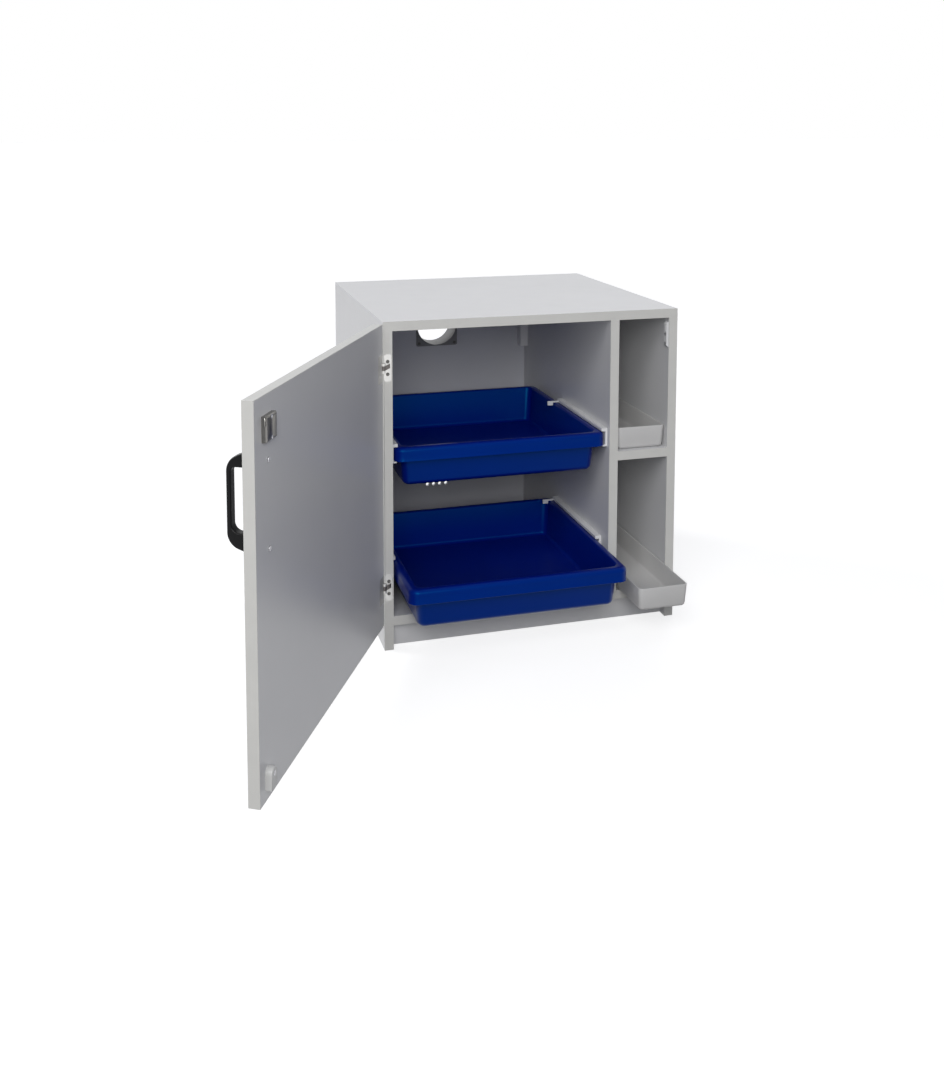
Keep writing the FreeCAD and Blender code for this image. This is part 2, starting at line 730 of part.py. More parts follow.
def edges_level(shape, height, chosen=None):
    """The names of the edges that lie flat at one height."""
    found = []
    for number, edge in enumerate(shape.Edges, start=1):
        box = edge.BoundBox
        flat = max(abs(box.ZMin - height), abs(box.ZMax - height)) < size("tolerance")
        if flat and (chosen is None or chosen(edge.CenterOfMass)):
            found.append(f"Edge{number}")
    return found


def soften(body, name, base, edges, radius):
    """Rounds a run of edges."""
    feature = body.newObject("PartDesign::Fillet", name)
    feature.Base = (base, edges)
    bind(feature, "Radius", radius)
    doc.recompute()
    return feature


def tray(level, pulled):
    """A blue tray: the rim with its skirt, then the tub, then the room inside."""
    name = level.capitalize() + "Tray"
    body = doc.addObject("PartDesign::Body", name)
    rim = rounded_sketch(body, name + "Rim", "0 - tray_skirt", TRAY_WIDTH, "tray_depth", "tray_corner")
    pad = body.newObject("PartDesign::Pad", name + "RimPad")
    pad.Profile = rim
    bind(pad, "Length", "tray_skirt")
    doc.recompute()
    before = pad.Shape.Volume
    inside = "2 * tray_skirt_wall"
    under = rounded_sketch(body, name + "Under", "0 - tray_skirt", f"{TRAY_WIDTH} - {inside}",
                           f"tray_depth - {inside}", "tray_corner - tray_skirt_wall")
    pocket = body.newObject("PartDesign::Pocket", name + "UnderPocket")
    pocket.Profile = under
    pocket.Reversed = True
    bind(pocket, "Length", "tray_skirt - tray_skirt_wall")
    doc.recompute()
    if pocket.Shape.Volume >= before:
        raise ValueError(f"the skirt of {name} is not hollow")

    def outline(word, height, inset, corner):
        return rounded_sketch(body, name + word, height, f"{TRAY_WIDTH} - 2 * ({inset})",
                              f"tray_depth - 2 * ({inset})", corner)

    loft(body, "PartDesign::AdditiveLoft", name + "Tub",
         outline("TubTop", "0", "tray_rim", "tub_corner"),
         outline("TubFoot", "0 - tray_height", "tray_rim + tub_draft", "tub_corner"))
    doc.recompute()
    floor = "tray_wall - tray_height"
    hollow = loft(body, "PartDesign::SubtractiveLoft", name + "Room",
                  outline("RoomTop", "0", "tray_rim + tray_wall", "tub_corner - tray_wall"),
                  outline("RoomFoot", floor, "tray_rim + tray_wall + tub_draft", "tub_corner - tray_wall"))
    doc.recompute()
    foot = edges_level(hollow.Shape, -size("tray_height"))
    outer = soften(body, name + "FootRound", hollow, foot, "tub_round")
    foot = edges_level(outer.Shape, size("tray_wall") - size("tray_height"))
    inner = soften(body, name + "RoomRound", outer, foot, "tub_round - tray_wall")
    limit_x = tray_width / 2 - size("tray_rim")
    limit_y = size("tray_depth") / 2 - size("tray_rim")
    lip = edges_level(inner.Shape, 0, lambda at: abs(at.x) > limit_x or abs(at.y) > limit_y)
    soften(body, name + "LipRound", inner, lip, "tray_rim_round")
    pull = "lower_tray_pull" if pulled else "0"
    bind_place(body, (BAY_MIDDLE, f"{FRONT} + tray_setback + tray_depth / 2 - {pull}",
                      TRAY_TOPS[level]))
    node(body, f"{level}_tray")


def bin_box(level, pulled):
    """A pale bin: a drafted box, hollow from above, with its edges rounded."""
    name = level.capitalize() + "Bin"
    body = doc.addObject("PartDesign::Body", name)

    def outline(word, height, inset, corner):
        return rounded_sketch(body, name + word, height, f"{BIN_WIDTH} - 2 * ({inset})",
                              f"bin_depth - 2 * ({inset})", corner)

    shell = loft(body, "PartDesign::AdditiveLoft", name + "Shell",
                 outline("Top", "bin_height", "0", "bin_corner"),
                 outline("Foot", "0", "bin_draft", "bin_corner"))
    doc.recompute()
    outer = soften(body, name + "FootRound", shell, edges_level(shell.Shape, 0), "bin_round")
    hollow = loft(body, "PartDesign::SubtractiveLoft", name + "Room",
                  outline("RoomTop", "bin_height", "bin_wall", "bin_corner - bin_wall"),
                  outline("RoomFoot", "bin_wall", "bin_wall + bin_draft", "bin_corner - bin_wall"))
    doc.recompute()
    if hollow.Shape.Volume >= outer.Shape.Volume:
        raise ValueError(f"{name} is not hollow")
    inner = soften(body, name + "RoomRound", hollow, edges_level(hollow.Shape, size("bin_wall")),
                   "bin_round - bin_wall")
    soften(body, name + "LipRound", inner, edges_level(inner.Shape, size("bin_height")),
           "bin_lip_round")
    board = f"{SHELF} + panel_thick" if level == "upper" else FLOOR_TOP
    pull = "lower_bin_pull" if pulled else "0"
    bind_place(body, (f"{SIDE_BAY} + side_bay_width / 2",
                      f"{FRONT} + bin_setback + bin_depth / 2 - {pull}", f"{board} + bin_gap"))
    node(body, f"{level}_bin")


def hinges():
    """The fixed plates, dark arms, door leaves and pins of both hinges."""
    screws = seats("PlateScrewSeats", plate_screws)
    notches = made("PlateNotches", Part.makeCompound(hinge_notches()))
    pins = []
    for word, level in hinge_levels:
        name = word.capitalize() + "Hinge"
        plate = made(name + "PlateBlank", hinge_plate(level))
        node(cut(name + "Plate", plate, [screws, notches]), f"{word}_hinge_plate")
        node(made(name + "Arm", hinge_arm(level)), f"{word}_hinge_arm")
        leaf = hinge_leaf(level).cut(Part.makeCompound(leaf_screws(slotted=False)))
        node(made(name + "Leaf", leaf, door_place), f"{word}_hinge_leaf")
        full = stack_height()
        pins.append(Part.makeCylinder(size("pin_radius"), full, pivot + V(0, 0, level - full / 2)))
    node(made("HingePins", Part.makeCompound(pins)), "hinge_pins")
    node(made("HingeLeafScrews", Part.makeCompound(leaf_screws()), door_place), "hinge_leaf_screws")


# Places on the door, in its own frame.
lock_at = V(door_width - size("lock_from_edge"), 0, lock_level)
catch_at = V(door_width - size("catch_from_edge"), 0, floor_top + size("catch_gap"))
handle_at = V(door_width - size("handle_from_edge"), 0, door_top - size("handle_drop"))
plunger_show = size("catch_gap") - size("plunger_clear")


def lock_screws(slotted=True):
    """Two countersunk screws through the lock case into the door."""
    return [screw(lock_at + V(0, size("lock_case_depth"), side * size("lock_screw_offset")), -Y_AXIS,
                  length=size("screw_length") + size("lock_case_depth"), slotted=slotted)
            for side in (1, -1)]


def catch_screw(slotted=True):
    """The screw through the catch housing into the door."""
    rise = size("catch_height") - size("catch_width") / 2
    return screw(catch_at + V(0, size("catch_depth"), rise), -Y_AXIS,
                 length=size("screw_length") + size("catch_depth"), slotted=slotted)


def handle_screws(slotted=True):
    """Two machine screws from the inner face through the door into the handle's feet."""
    length = size("door_thick") + size("handle_screw_depth")
    return [screw(handle_at + V(0, 0, size("handle_screw_rise") + step * size("handle_screw_span")),
                  -Y_AXIS, head=size("handle_screw_head"), countersunk=False,
                  radius=size("handle_screw_radius"), length=length, slotted=slotted)
            for step in (0, 1)]


def door_board():
    """The door's chipboard core and the band round its four edges."""
    band = size("band_thick")
    thick = size("door_thick")
    wide = door_width
    tall = door_top - door_level
    low = V(0, -thick, door_level)
    core = Part.makeBox(wide - 2 * band, thick, tall - 2 * band, low + V(band, 0, band))
    edge = Part.makeBox(wide, thick, tall, low).cut(core)
    room = size("knuckle_radius") + size("knuckle_gap")
    high = stack_height() + 2 * size("knuckle_gap")
    tools = []
    for _, level in hinge_levels:
        tools.append(hinge_leaf(level))
        axis = V(-pivot_back, pivot_out, level - high / 2)
        tools.append(Part.makeCylinder(room, high, axis))
    for screws in (leaf_screws, lock_screws, handle_screws):
        tools += screws(slotted=False)
    tools.append(catch_screw(slotted=False))
    tools.append(Part.makeCylinder(size("cylinder_radius") + size("cylinder_play"),
                                   thick + 2 * size("overrun"),
                                   lock_at + V(0, size("overrun"), 0), -Y_AXIS))
    for tool in tools:
        core = core.cut(tool)
        edge = edge.cut(tool)
    node(made("DoorPanel", core, door_place), "door_panel")
    node(made("DoorEdgeBands", edge, door_place), "door_edge_bands")


def bevelled(shape, amount, chosen):
    """A shape with a flat bevel on the edges that a test picks."""
    return shape.makeChamfer(amount, [edge for edge in shape.Edges if chosen(edge)])


def lock():
    """The rim lock's case, screws, cylinder, plug, bolt and outer ring."""
    wide = size("lock_case_width")
    tall = size("lock_case_height")
    deep = size("lock_case_depth")
    case = Part.makeBox(wide, deep, tall, lock_at - V(wide / 2, 0, tall / 2))
    case = bevelled(case, size("lock_bevel"),
                    lambda edge: edge.BoundBox.YMin > deep - size("tolerance"))
    roof = deep - size("lock_case_wall")
    play = size("bolt_play")
    bolt_low = lock_at + V(wide / 2 + size("bolt_show") - size("bolt_length"),
                           roof - play - size("bolt_thick"), size("bolt_rise") - size("bolt_height") / 2)
    channel = Part.makeBox(size("bolt_length") + size("bolt_show"), size("bolt_thick") + 2 * play,
                           size("bolt_height") + 2 * play, bolt_low - V(play, play, play))
    cam_top = size("cam_play") + size("cam_thick")
    chamber = Part.makeCylinder(size("cam_reach") + size("cam_play"), cam_top + size("cam_play"),
                                lock_at, Y_AXIS)
    case = case.cut(channel).cut(chamber)
    for seat in lock_screws(slotted=False):
        case = case.cut(seat)
    node(made("LockCase", case, door_place), "lock_case")
    node(made("LockScrews", Part.makeCompound(lock_screws()), door_place), "lock_screws")

    bolt = Part.makeBox(size("bolt_length"), size("bolt_thick"), size("bolt_height"), bolt_low)
    tip = bolt_low.x + size("bolt_length")
    bolt = bevelled(bolt, size("bolt_thick") / 4,
                    lambda edge: edge.BoundBox.XMin > tip - size("tolerance"))
    node(made("LockBolt", bolt, door_place), "lock_bolt")

    thick = size("door_thick")
    outer = lock_at + V(0, -thick - size("escutcheon_thick"), 0)
    barrel = Part.makeCylinder(size("cylinder_radius"), thick + size("escutcheon_thick"), outer, Y_AXIS)
    bore = Part.makeCylinder(size("plug_radius") + size("plug_play"),
                             thick + size("escutcheon_thick"), outer, Y_AXIS)
    node(made("LockCylinder", barrel.cut(bore), door_place), "lock_cylinder")
    ring = Part.makeCone(size("escutcheon_radius") - size("escutcheon_bevel"),
                         size("escutcheon_radius"), size("escutcheon_bevel"), outer, Y_AXIS)
    rest = size("escutcheon_thick") - size("escutcheon_bevel")
    ring = ring.fuse(Part.makeCylinder(size("escutcheon_radius"), rest,
                                       outer + V(0, size("escutcheon_bevel"), 0), Y_AXIS))
    ring = ring.cut(Part.makeCylinder(size("cylinder_radius"), size("escutcheon_thick"), outer, Y_AXIS))
    node(made("LockEscutcheon", ring, door_place), "lock_escutcheon")

    start = outer - V(0, size("plug_show"), 0)
    length = size("plug_show") + size("escutcheon_thick") + thick + size("cam_play")
    plug = Part.makeCylinder(size("plug_radius"), length, start, Y_AXIS)
    half = size("cam_width") / 2
    arm = Part.makeBox(size("cam_width"), size("cam_thick"), size("cam_reach") - half,
                       lock_at + V(-half, size("cam_play"), 0))
    end = lock_at + V(0, size("cam_play"), size("cam_reach") - half)
    arm = arm.fuse(Part.makeCylinder(half, size("cam_thick"), end, Y_AXIS))
    hub = Part.makeCylinder(size("plug_radius"), size("cam_thick"),
                            lock_at + V(0, size("cam_play"), 0), Y_AXIS)
    slot = Part.makeBox(size("keyway_width"), size("keyway_depth"), size("keyway_height"),
                        start - V(size("keyway_width") / 2, 0, size("keyway_height") / 2))
    node(made("LockPlug", plug.fuse(hub).fuse(arm).cut(slot), door_place), "lock_plug")
    return bolt_low


def keeper(bolt_low):
    """The keeper on the right side panel, with a slot where the thrown bolt lands."""
    thick = size("keeper_thick")
    deep = size("keeper_depth")
    low = V(right_face - thick, front + size("keeper_setback"), keeper_level)
    body = Part.makeBox(thick, deep, size("keeper_height"), low)
    body = bevelled(body, size("keeper_bevel"), lambda edge: (
        edge.BoundBox.XMax < low.x + size("tolerance") and edge.BoundBox.ZLength < size("tolerance")))
    play = size("keeper_slot_play")
    closed_face = front - size("door_gap")
    slot_low = V(low.x, closed_face + bolt_low.y - play, bolt_low.z - play)
    slot = Part.makeBox(thick, size("bolt_thick") + 2 * play, size("bolt_height") + 2 * play, slot_low)
    body = body.cut(slot).cut(Part.makeCompound(keeper_screws(slotted=False)))
    node(made("StrikeKeeper", body), "strike_keeper")


def catch():
    """The domed catch near the foot of the door, with its sprung plunger below."""
    half = size("catch_width") / 2
    deep = size("catch_depth")
    straight = size("catch_height") - half
    shell = Part.makeBox(2 * half, deep, straight, catch_at - V(half, 0, 0))
    shell = shell.fuse(Part.makeCylinder(half, deep, catch_at + V(0, 0, straight), Y_AXIS)).removeSplitter()
    shell = shell.makeFillet(size("catch_round"), [
        edge for edge in shell.Edges if edge.BoundBox.YMin > deep - size("tolerance")])
    middle = catch_at + V(0, deep / 2, 0)
    inside = size("plunger_length") - plunger_show
    bore = Part.makeCylinder(size("plunger_radius") + size("plunger_play"),
                             inside + size("catch_spring_room"), middle)
    shell = shell.cut(bore).cut(catch_screw(slotted=False))
    node(made("CatchHousing", shell, door_place), "catch_housing")
    node(made("CatchScrew", Part.makeCompound([catch_screw()]), door_place), "catch_screw")
    plunger = Part.makeCylinder(size("plunger_radius"), size("plunger_length"),
                                middle - V(0, 0, plunger_show))
    nose = [edge for edge in plunger.Edges
            if edge.BoundBox.ZMax < middle.z - plunger_show + size("tolerance")]
    plunger = plunger.makeFillet(plunger_show - size("plunger_play"), nose)
    node(made("CatchPlunger", plunger, door_place), "catch_plunger")


def rounded_outline(corners):
    """A closed wire through corner points, each with its own radius, 0 for a sharp one."""
    pieces = []
    count = len(corners)
    starts = []
    for number, (corner, radius) in enumerate(corners):
        before = (corners[number - 1][0] - corner).normalize()
        after = (corners[(number + 1) % count][0] - corner).normalize()
        if radius == 0:
            starts.append((corner, corner))
            continue
        half = before.getAngle(after) / 2
        reach = radius / math.tan(half)
        bisector = (before + after).normalize()
        middle = corner + bisector * (radius / math.sin(half) - radius)
        first = corner + before * reach
        last = corner + after * reach
        pieces.append(Part.Arc(first, middle, last).toShape())
        starts.append((first, last))
    for number in range(count):
        pieces.append(Part.makeLine(starts[number][1], starts[(number + 1) % count][0]))
    return Part.Wire(Part.__sortEdges__(pieces))


def handle():
    """The black bow: its outline seen from the side, as wide as the bar, edges rounded."""
    reach = size("handle_reach")
    tall = size("handle_height")
    inner = reach - size("handle_bar_thick")
    slope = size("handle_slope")
    outline = [
        ((0, 0), 0),
        ((reach, slope), size("handle_outer_round")),
        ((reach, tall - slope), size("handle_outer_round")),
        ((0, tall), 0),
        ((0, tall - size("handle_upper_foot")), 0),
        ((inner, tall - size("handle_upper_foot")), size("handle_upper_round")),
        ((inner, size("handle_lower_foot")), size("handle_lower_round")),
        ((0, size("handle_lower_foot")), 0),
    ]
    half = size("handle_bar_width") / 2
    face = handle_at + V(-half, -size("door_thick"), 0)
    corners = [(face + V(0, -out, up), radius) for (out, up), radius in outline]
    bow = Part.Face(rounded_outline(corners)).extrude(V(2 * half, 0, 0))
    long_edges = [edge for edge in bow.Edges
                  if edge.BoundBox.XLength < size("tolerance")
                  and edge.BoundBox.YMin < face.y - size("tolerance")]
    bow = bow.makeFillet(size("handle_edge_round"), long_edges)
    for seat in handle_screws(slotted=False):
        bow = bow.cut(seat)
    node(made("DoorHandle", bow, door_place), "door_handle")
    node(made("HandleScrews", Part.makeCompound(handle_screws()), door_place), "handle_screws")


carcass()
duct()
for runner_level, runner_side in runner_sides():
    runner(runner_level, runner_side)
tray("upper", pulled=False)
tray("lower", pulled=True)
bin_box("upper", pulled=False)
bin_box("lower", pulled=True)
hinges()
door_board()
keeper(lock())
catch()
handle()
doc.recompute()

for item in doc.Objects:
    if "Invalid" in item.State or "Error" in item.State:
        raise ValueError(f"{item.Name} failed: {item.State}")
for item in nodes:
    if item.Shape.isNull() or not item.Shape.isValid():
        raise ValueError(f"{item.Label} has no valid shape")

os.makedirs("parts", exist_ok=True)
for item in nodes:
    item.Shape.exportStep(f"parts/{item.Label}.step")
    box = item.Shape.BoundBox
    print(f"{item.Label}: {len(item.Shape.Solids)} solid(s), "
          f"{box.XLength:.1f} x {box.YLength:.1f} x {box.ZLength:.1f} mm")
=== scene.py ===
# %% [markdown]
# # A low reagent cabinet with blue trays
#
# The cabinet is a box of faced chipboard. Two blue trays hang on plastic runners in the wide
# bay, two pale bins slide in the narrow bay, and one door with a rim lock covers both. The
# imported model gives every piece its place, so this lesson only adds what makes the pieces look
# real: soft edges, moulded shells and a finish for each surface.

# %% The frame and its measures
import json
import math

import bmesh
import bpy
from mathutils import Euler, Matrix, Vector


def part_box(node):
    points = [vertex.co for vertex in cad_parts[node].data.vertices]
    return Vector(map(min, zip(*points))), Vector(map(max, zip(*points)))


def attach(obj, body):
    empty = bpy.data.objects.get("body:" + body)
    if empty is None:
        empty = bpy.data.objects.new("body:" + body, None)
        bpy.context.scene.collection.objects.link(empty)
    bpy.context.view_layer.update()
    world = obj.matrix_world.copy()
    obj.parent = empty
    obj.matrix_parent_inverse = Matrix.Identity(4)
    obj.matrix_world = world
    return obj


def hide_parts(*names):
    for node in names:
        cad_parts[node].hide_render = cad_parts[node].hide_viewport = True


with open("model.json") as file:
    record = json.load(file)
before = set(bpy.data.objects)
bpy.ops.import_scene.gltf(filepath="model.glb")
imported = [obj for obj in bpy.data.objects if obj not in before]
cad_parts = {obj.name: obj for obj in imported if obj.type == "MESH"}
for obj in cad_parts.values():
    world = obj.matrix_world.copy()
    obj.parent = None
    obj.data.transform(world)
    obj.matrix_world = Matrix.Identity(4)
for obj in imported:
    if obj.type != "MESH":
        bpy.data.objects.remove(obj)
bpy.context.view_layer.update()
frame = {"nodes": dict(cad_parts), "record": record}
MM = 0.001
nodes = frame["nodes"]
record = frame["record"]
body_of = {node: body for body, names in record["behaviour"]["bodies"].items() for node in names}
slot_of = {part["node"]: part["material_slot"] for part in record["subparts"]}

# %% [markdown]
# ## The camera
#
# The viewpoint stands to the left of the cabinet, a little above it. Turning the camera down
# until the cabinet is in the middle would make its uprights lean. They look best when they
# hardly do, so the camera is tilted by only five degrees and the lens is shifted instead, as an
# architect's camera would do it.

# %% The camera
LENS_LENGTH = 37.74
FILM_WIDTH = 36
LENS_SHIFT = (0.0138, -0.2895)
EYE = (-0.7151, -2.0720, 1.0036)
EYE_TILT = 84.73
EYE_TURN = -15.30
camera_data = bpy.data.cameras.new("Camera")
camera_data.lens = LENS_LENGTH
camera_data.sensor_width = FILM_WIDTH
camera_data.shift_x, camera_data.shift_y = LENS_SHIFT
camera = bpy.data.objects.new("Camera", camera_data)
camera.location = EYE
camera.rotation_euler = Euler((math.radians(EYE_TILT), 0, math.radians(EYE_TURN)))
bpy.context.scene.collection.objects.link(camera)
bpy.context.scene.camera = camera
bpy.context.scene.view_settings.view_transform = "Standard"
print("camera at", EYE, "with a lens of", LENS_LENGTH, "mm")

# %% [markdown]
# ## Nodes for the finishes
#
# Every finish below is a small tree of shader nodes. Writing each node in full would hide what
# matters, so one helper adds a node with its settings and joins sockets. The tree stays the
# same as the one that the shader editor would show.


# %% A helper for shader nodes
def add_node(tree, kind, inputs=None, **settings):
    """Adds one shader node. An input is a number, a colour or another node's output."""
    made = tree.nodes.new(kind)
    for name, value in settings.items():
        setattr(made, name, value)
    for name, value in (inputs or {}).items():
        if isinstance(value, bpy.types.NodeSocket):
            tree.links.new(value, made.inputs[name])
        else:
            made.inputs[name].default_value = value
    return made


def seen_directly(tree):
    """1 for rays that the viewer sees, directly or through gloss and glass, else 0."""
    path = add_node(tree, "ShaderNodeLightPath").outputs
    either = add_node(tree, "ShaderNodeMath", {0: path["Is Camera Ray"], 1: path["Is Glossy Ray"]},
                      operation="MAXIMUM").outputs[0]
    return add_node(tree, "ShaderNodeMath", {0: either, 1: path["Is Transmission Ray"]},
                    operation="MAXIMUM").outputs[0]


# %% [markdown]
# ## The background
#
# The background is plain white, but a white room would light the cabinet flat from all sides.
# The world is therefore white only where it is seen, and a soft cool grey where it lights the
# pieces. That keeps the bays dim, as they are behind a real opening.

# %% The world
FILL = (0.158, 0.167, 0.2)
WHITE = (1, 1, 1, 1)
world = bpy.data.worlds.new("Studio")
world.use_nodes = True
bpy.context.scene.world = world
tree = world.node_tree
tree.nodes.clear()
fill = add_node(tree, "ShaderNodeBackground", {"Color": (*FILL, 1), "Strength": 1})
white = add_node(tree, "ShaderNodeBackground", {"Color": WHITE, "Strength": 1})
choice = add_node(tree, "ShaderNodeMixShader", {0: seen_directly(tree), 1: fill.outputs[0],
                                                2: white.outputs[0]})
add_node(tree, "ShaderNodeOutputWorld", {"Surface": choice.outputs[0]})
print("fill light", FILL)

# %% [markdown]
# ## Lamps
#
# The first sun comes from the left and behind, and gives the top and the left side their
# brightness. The second stands high in front and reaches the door and the fronts of the trays.
# A wide soft lamp in front fills the bays, as the softbox of a photo studio would. The last sun
# only lifts the back and the right side, and a glossy top would show it as a patch of glare, so
# it is left out of reflections. Point lamps could do all this too, but their light falls off
# across the cabinet, and suns keep it even.


# %% Lamps
def aim(lamp, place, target):
    """Puts a lamp in its place and turns it to the target."""
    lamp.location = place
    lamp.rotation_euler = (Vector(target) - Vector(place)).to_track_quat("-Z", "Y").to_euler()
    bpy.context.scene.collection.objects.link(lamp)


MIDDLE = (0, 0.1, 0.35)
suns = (("Side key", (-3.0, 1.7, 2.47), 1.15, 20), ("High front", (-1.9, -2.4, 3.0), 0.8, 26),
        ("Rear fill", (1.6, 2.7, 1.65), 0.6, 30))
for name, place, strength, spread in suns:
    sun = bpy.data.lights.new(name, "SUN")
    sun.energy = strength
    sun.angle = math.radians(spread)
    lamp = bpy.data.objects.new(name, sun)
    lamp.visible_glossy = name != "Rear fill"
    aim(lamp, place, MIDDLE)
SOFTBOX_PLACE = (-0.7, -2.75, 1.6)
SOFTBOX_SIDE = 1.2
SOFTBOX_WATTS = 38
softbox_data = bpy.data.lights.new("Softbox", "AREA")
softbox_data.size = SOFTBOX_SIDE
softbox_data.energy = SOFTBOX_WATTS
aim(bpy.data.objects.new("Softbox", softbox_data), SOFTBOX_PLACE, MIDDLE)
print(len(suns), "suns and a softbox of", SOFTBOX_WATTS, "W")

# %% [markdown]
# ## The floor
#
# A floor that is only lit turns grey towards the horizon. Here the floor glows a little where
# it is seen, just enough for the lit part to reach white, while the part in shadow stays
# darker. Where it only passes light on to the cabinet it is a plain dark grey, so that it
# doesn't brighten the door from below. The cabinet keeps its shadow and still stands on
# a white page.

# %% The floor
FLOOR_REACH = 60
FLOOR_DROP = 0.3 * MM
FLOOR_GLOW = 0.73
FLOOR_SEEN = (0.5, 0.5, 0.5, 1)
FLOOR_UNSEEN = (0.2, 0.195, 0.19, 1)
floor_mesh = bpy.data.meshes.new("Floor")
build = bmesh.new()
bmesh.ops.create_grid(build, x_segments=1, y_segments=1, size=FLOOR_REACH)
bmesh.ops.translate(build, vec=(0, 0, -FLOOR_DROP), verts=build.verts)
build.to_mesh(floor_mesh)
build.free()
floor = bpy.data.objects.new("Floor", floor_mesh)
bpy.context.scene.collection.objects.link(floor)
paper = bpy.data.materials.new("White floor")
paper.use_nodes = True
tree = paper.node_tree
tree.nodes.clear()
plain = add_node(tree, "ShaderNodeBsdfDiffuse", {"Color": FLOOR_UNSEEN})
pale = add_node(tree, "ShaderNodeBsdfDiffuse", {"Color": FLOOR_SEEN})
glow = add_node(tree, "ShaderNodeEmission", {"Color": WHITE, "Strength": FLOOR_GLOW})
seen = add_node(tree, "ShaderNodeAddShader", {0: pale.outputs[0], 1: glow.outputs[0]})
choice = add_node(tree, "ShaderNodeMixShader", {0: seen_directly(tree), 1: plain.outputs[0],
                                                2: seen.outputs[0]})
add_node(tree, "ShaderNodeOutputMaterial", {"Surface": choice.outputs[0]})
floor_mesh.materials.append(paper)
print("floor", FLOOR_REACH, "m to each side, glow", FLOOR_GLOW)

# %% [markdown]
# ## A finish and its small faults
#
# Real surfaces are never one flat value. A photograph of the material could give them life, but
# it would have to be fitted to every piece. Each finish here starts from the principled shader
# instead, with constants for what is the same all over, and a fine noise on object coordinates
# then bends the light a little. Object coordinates are in metres, so a scale of 1000 makes
# grains of about a millimetre.

# %% Helpers for finishes
NOISE_LOW = 0.3
NOISE_HIGH = 0.7


def finish(name, colour, roughness, **sockets):
    """A principled material with its plain settings."""
    material = bpy.data.materials.new(name)
    material.use_nodes = True
    shader = material.node_tree.nodes["Principled BSDF"]
    shader.inputs["Base Color"].default_value = (*colour, 1)
    shader.inputs["Roughness"].default_value = roughness
    for socket, value in sockets.items():
        shader.inputs[socket.replace("_", " ")].default_value = value
    return material


def noise(material, scale, detail=2, stretch=(1, 1, 1)):
    """Noise on the piece's own coordinates, drawn out along an axis where stretch is small."""
    tree = material.node_tree
    place = add_node(tree, "ShaderNodeTexCoord").outputs["Object"]
    if stretch != (1, 1, 1):
        place = add_node(tree, "ShaderNodeMapping", {"Vector": place, "Scale": stretch}).outputs[0]
    return add_node(tree, "ShaderNodeTexNoise", {"Vector": place, "Scale": scale,
                                                 "Detail": detail}).outputs["Fac"]


def bump(material, pattern, strength, depth=0.2 * MM, under=None):
    """Bends the light by a pattern, over another bump if there is one."""
    tree = material.node_tree
    inputs = {"Height": pattern, "Strength": strength, "Distance": depth}
    if under is not None:
        inputs["Normal"] = under
    made = add_node(tree, "ShaderNodeBump", inputs).outputs[0]
    tree.links.new(made, tree.nodes["Principled BSDF"].inputs["Normal"])
    return made


def ramp(tree, pattern, low=0, high=1):
    """Spreads the middle of a noise, where most of it lies, between two values."""
    return add_node(tree, "ShaderNodeMapRange", {"Value": pattern, "From Min": NOISE_LOW,
                                                 "From Max": NOISE_HIGH, "To Min": low,
                                                 "To Max": high}).outputs[0]


def vary(material, pattern, socket, low, high):
    """Lets a pattern move one socket of the shader between two values."""
    tree = material.node_tree
    tree.links.new(ramp(tree, pattern, low, high), tree.nodes["Principled BSDF"].inputs[socket])


def tint(material, pattern, first, second):
    """Lets a pattern mix two colours."""
    tree = material.node_tree
    mix = add_node(tree, "ShaderNodeMix", {0: ramp(tree, pattern)}, data_type="RGBA")
    mix.inputs[6].default_value = (*first, 1)
    mix.inputs[7].default_value = (*second, 1)
    tree.links.new(mix.outputs[2], tree.nodes["Principled BSDF"].inputs["Base Color"])


def mottle(material, pattern, colour, share):
    """Lets a pattern make a colour lighter and darker by a share of it."""
    tint(material, pattern, tuple(value * (1 - share) for value in colour),
         tuple(value * (1 + share) for value in colour))


# %% [markdown]
# ## Boards and their edge bands
#
# The boards are faced with white resin paper, pressed to a satin skin with a fine orange peel.
# The peel has to be almost too faint to see: a deeper bump turns to blotches from a few metres
# away. The back is a thinner board, a shade greyer. The cut edges carry a glued plastic band
# that is a little warmer than the faces, and that small difference shows on every front edge.


# %% Board finishes
def resin_face(name, colour):
    """White resin paper: nearly even, with a fine orange peel and a satin gloss."""
    material = finish(name, colour, 0.3, Specular_IOR_Level=0.4)
    mottle(material, noise(material, 5, 3), colour, 0.015)
    vary(material, noise(material, 22, 3), "Roughness", 0.28, 0.32)
    bump(material, noise(material, 420, 1), 0.006)
    return material


def edge_plastic(name, colour):
    """The glued band: even plastic with faint lines along its length."""
    material = finish(name, colour, 0.4, Specular_IOR_Level=0.4)
    mottle(material, noise(material, 30, 2), colour, 0.02)
    bump(material, noise(material, 400, 1, (1, 1, 0.04)), 0.008)
    return material


board = resin_face("White board", (0.69, 0.69, 0.695))
back_face = resin_face("Back board", (0.6, 0.605, 0.64))
edge_band = edge_plastic("Edge band", (0.65, 0.645, 0.615))
print("board finishes", board.name, back_face.name, edge_band.name)
